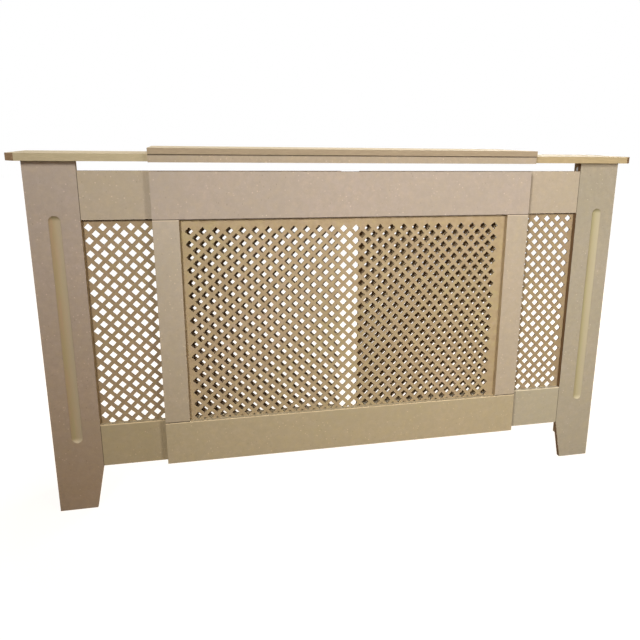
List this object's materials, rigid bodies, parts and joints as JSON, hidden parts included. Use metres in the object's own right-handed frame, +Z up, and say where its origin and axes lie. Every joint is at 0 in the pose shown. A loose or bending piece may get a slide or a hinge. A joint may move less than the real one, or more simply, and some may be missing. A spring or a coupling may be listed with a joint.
{
  "type": "radiator cover cabinet",
  "caption": "Adjustable wooden radiator cover: a centre frame with a diamond-punched grille, and two fluted-leg wings that slide behind it to set the width, under a loose cap board.",
  "frame": {"origin": "on the floor, in the middle of the overall width and depth, with the wings as the picture shows them", "axes": "+Z up, -Y towards the room, +Y towards the wall, +X to the right as seen from the room"},
  "size_m": [1.402, 0.219, 0.8103],
  "materials": {
    "mdf_board": "raw, unpainted MDF, matt, with very fine fibre specks",
    "mdf_top_board": "raw, unpainted MDF, matt, cut edges a little yellower",
    "grille_sheet": "raw punched fibreboard sheet, smooth and matt",
    "batten_board": "raw MDF, sawn edges",
    "beech": "pressed beech biscuits, hidden in the glued joints",
    "zinc_plate": "dull zinc-plated steel",
    "bright_steel": "bright zinc-plated steel bolts, washers and nuts"
  },
  "bodies": {
    "centre": {"centre_top_rail": "mdf_board", "centre_bottom_rail": "mdf_board", "centre_left_stile": "mdf_board", "centre_right_stile": "mdf_board", "centre_grille": "grille_sheet", "centre_biscuits": "beech", "top_guide_batten": "batten_board", "bottom_guide_batten": "batten_board", "cap_board": "mdf_top_board", "cap_lip": "mdf_top_board"},
    "left_wing": {"left_leg": "mdf_board", "left_side_panel": "mdf_board", "left_top_rail": "mdf_board", "left_bottom_rail": "mdf_board", "left_grille": "grille_sheet", "left_shelf": "mdf_top_board", "left_wall_bracket": "zinc_plate", "left_frame_biscuits": "beech", "left_shelf_biscuits": "beech", "left_clamp_bolts": "bright_steel", "left_clamp_washers": "bright_steel", "left_clamp_nuts": "bright_steel"},
    "right_wing": {"right_leg": "mdf_board", "right_side_panel": "mdf_board", "right_top_rail": "mdf_board", "right_bottom_rail": "mdf_board", "right_grille": "grille_sheet", "right_shelf": "mdf_top_board", "right_wall_bracket": "zinc_plate", "right_frame_biscuits": "beech", "right_shelf_biscuits": "beech", "right_clamp_bolts": "bright_steel", "right_clamp_washers": "bright_steel", "right_clamp_nuts": "bright_steel"}
  },
  "joints": [
    {"name": "left_slide", "type": "slide", "parent": "centre", "child": "left_wing", "axis": [-1, 0, 0], "range_m": [-0.02, 0.3]},
    {"name": "right_slide", "type": "slide", "parent": "centre", "child": "right_wing", "axis": [1, 0, 0], "range_m": [-0.02, 0.3]}
  ]
}
